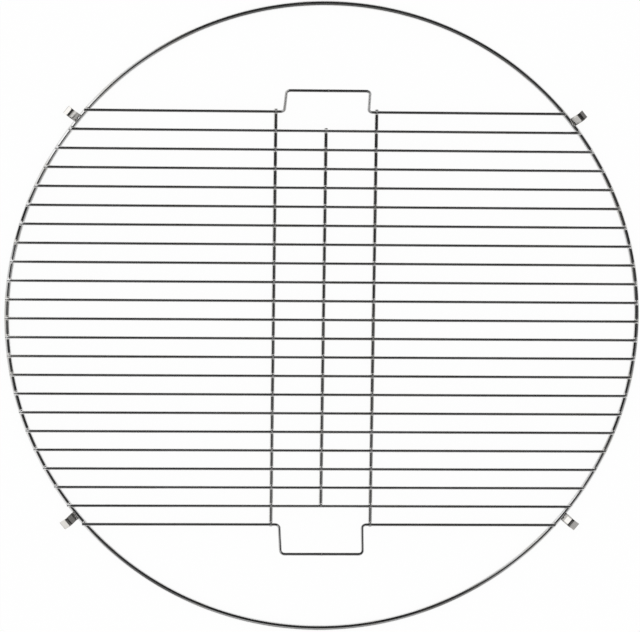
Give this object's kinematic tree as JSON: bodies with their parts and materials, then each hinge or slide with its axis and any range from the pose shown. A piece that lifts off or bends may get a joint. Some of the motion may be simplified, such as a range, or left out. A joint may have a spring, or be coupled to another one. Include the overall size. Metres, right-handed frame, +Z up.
{
  "type": "fire pit grill",
  "caption": "Round welded wire cooking grate for a fire pit, with upswept wire handles front and back and bent strip hooks around the ring that rest on the bowl's rim.",
  "frame": {"origin": "middle of the ring, on the plane that the ring rests on", "axes": "+X along the cross wires, +Y towards the back handle, +Z up, on the side that carries the food"},
  "size_m": [0.635, 0.635, 0.0333],
  "materials": {
    "ring_steel": "polished chrome plate on round steel wire",
    "cross_wire_steel": "polished chrome plate on round steel wire",
    "handle_steel": "polished chrome plate on round steel wire, a shade darker than the straight wires",
    "stringer_steel": "polished chrome plate on round steel wire",
    "hook_steel": "plated rolled strip, slightly warm"
  },
  "bodies": {
    "root": {"outer_ring": "ring_steel", "handle_wire_back": "handle_steel", "cross_wire_02": "cross_wire_steel", "cross_wire_03": "cross_wire_steel", "cross_wire_04": "cross_wire_steel", "cross_wire_05": "cross_wire_steel", "cross_wire_06": "cross_wire_steel", "cross_wire_07": "cross_wire_steel", "cross_wire_08": "cross_wire_steel", "cross_wire_09": "cross_wire_steel", "cross_wire_10": "cross_wire_steel", "cross_wire_11": "cross_wire_steel", "cross_wire_12": "cross_wire_steel", "cross_wire_13": "cross_wire_steel", "cross_wire_14": "cross_wire_steel", "cross_wire_15": "cross_wire_steel", "cross_wire_16": "cross_wire_steel", "cross_wire_17": "cross_wire_steel", "cross_wire_18": "cross_wire_steel", "cross_wire_19": "cross_wire_steel", "cross_wire_20": "cross_wire_steel", "cross_wire_21": "cross_wire_steel", "cross_wire_22": "cross_wire_steel", "handle_wire_front": "handle_steel", "stringer_left": "stringer_steel", "stringer_centre": "stringer_steel", "stringer_right": "stringer_steel", "rim_hook_back_left": "hook_steel", "rim_hook_back_right": "hook_steel", "rim_hook_front_left": "hook_steel", "rim_hook_front_right": "hook_steel"}
  },
  "joints": []
}
